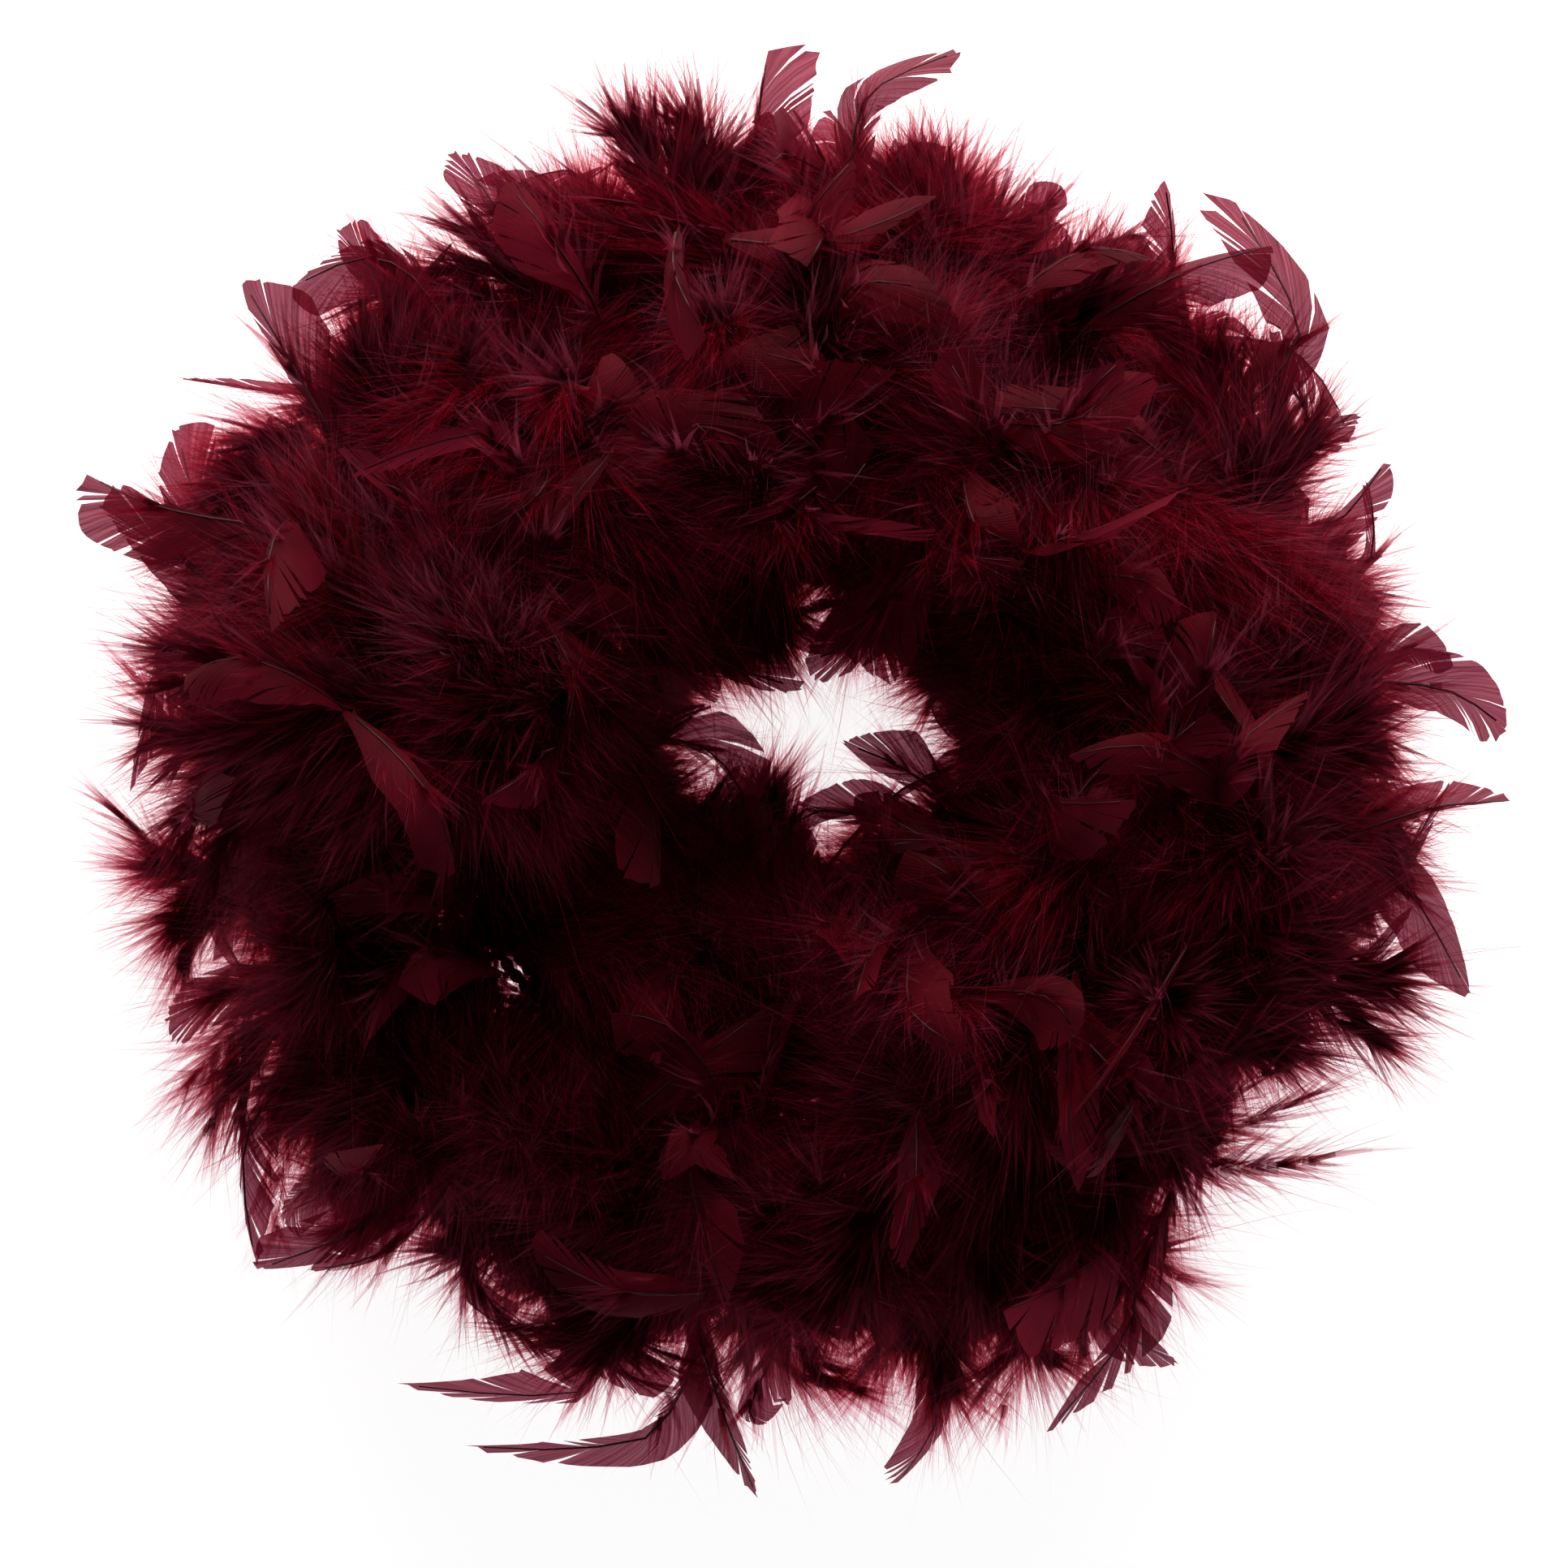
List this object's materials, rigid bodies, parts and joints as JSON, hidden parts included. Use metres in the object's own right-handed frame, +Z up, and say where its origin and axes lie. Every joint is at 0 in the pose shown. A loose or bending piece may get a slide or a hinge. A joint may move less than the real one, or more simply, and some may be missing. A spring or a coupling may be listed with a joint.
{
  "type": "feather boa",
  "caption": "Dyed turkey feather boa laid in a loose round coil, with downy plumage round a twisted core cord and long flat feathers standing out of it.",
  "frame": {"origin": "centre of the coil's footprint, on the surface that it lies on", "axes": "+Z up, along the coil's shortest size; +X and +Y across it, and the boa's free top end is on the -X side"},
  "size_m": [0.4496, 0.452, 0.1939],
  "materials": {
    "downy_plumage": "matte",
    "flat_feather": "satin",
    "core_cotton": "matte",
    "whipping_thread": "satin"
  },
  "bodies": {
    "root": {"core_cord": "core_cotton", "inner_end_knot": "core_cotton", "top_end_knot": "core_cotton", "inner_end_whipping": "whipping_thread", "top_end_whipping": "whipping_thread", "plumage_01": "downy_plumage", "plumage_02": "downy_plumage", "plumage_03": "downy_plumage", "plumage_04": "downy_plumage", "plumage_05": "downy_plumage", "plumage_06": "downy_plumage", "plumage_07": "downy_plumage", "plumage_08": "downy_plumage", "plumage_09": "downy_plumage", "plumage_10": "downy_plumage", "plumage_11": "downy_plumage", "plumage_12": "downy_plumage", "plumage_13": "downy_plumage", "plumage_14": "downy_plumage", "plumage_15": "downy_plumage", "plumage_16": "downy_plumage", "plumage_17": "downy_plumage", "plumage_18": "downy_plumage", "plumage_19": "downy_plumage", "plumage_20": "downy_plumage", "edge_flat_01": "flat_feather", "edge_flat_02": "flat_feather", "edge_flat_03": "flat_feather", "edge_flat_04": "flat_feather", "edge_flat_05": "flat_feather", "edge_flat_06": "flat_feather", "edge_flat_07": "flat_feather", "edge_flat_08": "flat_feather", "edge_flat_09": "flat_feather", "edge_flat_10": "flat_feather", "edge_flat_11": "flat_feather", "edge_flat_12": "flat_feather", "edge_flat_13": "flat_feather", "edge_flat_14": "flat_feather", "edge_flat_15": "flat_feather", "edge_flat_16": "flat_feather", "edge_flat_17": "flat_feather", "edge_flat_18": "flat_feather", "edge_flat_19": "flat_feather", "edge_flat_20": "flat_feather", "edge_flat_21": "flat_feather", "edge_flat_22": "flat_feather", "edge_flat_23": "flat_feather", "edge_flat_24": "flat_feather", "crown_flat_01": "flat_feather", "crown_flat_02": "flat_feather", "crown_flat_03": "flat_feather", "crown_flat_04": "flat_feather", "crown_flat_05": "flat_feather", "crown_flat_06": "flat_feather", "hole_flat_01": "flat_feather", "hole_flat_02": "flat_feather", "hole_flat_03": "flat_feather", "hole_flat_04": "flat_feather"}
  },
  "joints": []
}
